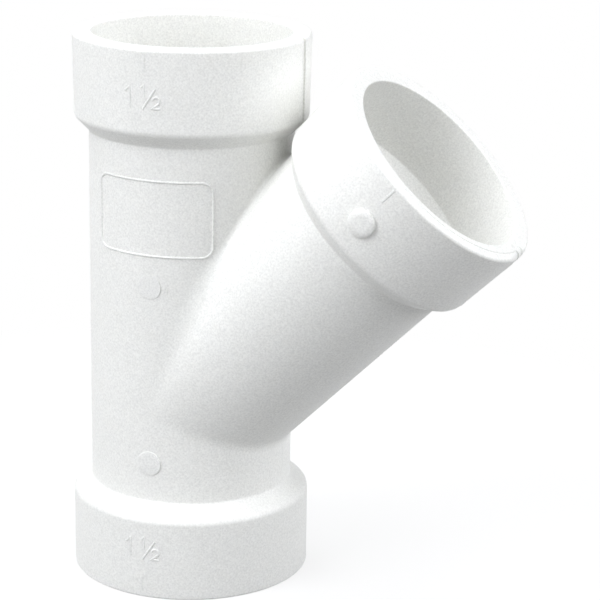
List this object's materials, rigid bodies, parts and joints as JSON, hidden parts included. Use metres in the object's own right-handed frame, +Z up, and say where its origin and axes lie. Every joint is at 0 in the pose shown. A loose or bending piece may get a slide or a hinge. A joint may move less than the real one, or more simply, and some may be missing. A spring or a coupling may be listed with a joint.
{
  "type": "pvc wye",
  "caption": "Plain plastic drain pipe wye: a straight run with a socket at each end and a socketed branch leaving it at forty-five degrees, moulded as one piece.",
  "frame": {"origin": "centre of the lower socket's mouth, in the plane of its rim", "axes": "+Z up along the run to the upper socket; +X toward the side the branch leans to; the branch axis lies in the XZ plane, halfway between +X and +Z"},
  "size_m": [0.1129, 0.0591, 0.135],
  "materials": {
    "wye_body": "white moulded PVC, satin with a faint orange peel"
  },
  "bodies": {
    "root": {"wye_body": "wye_body"}
  },
  "joints": []
}
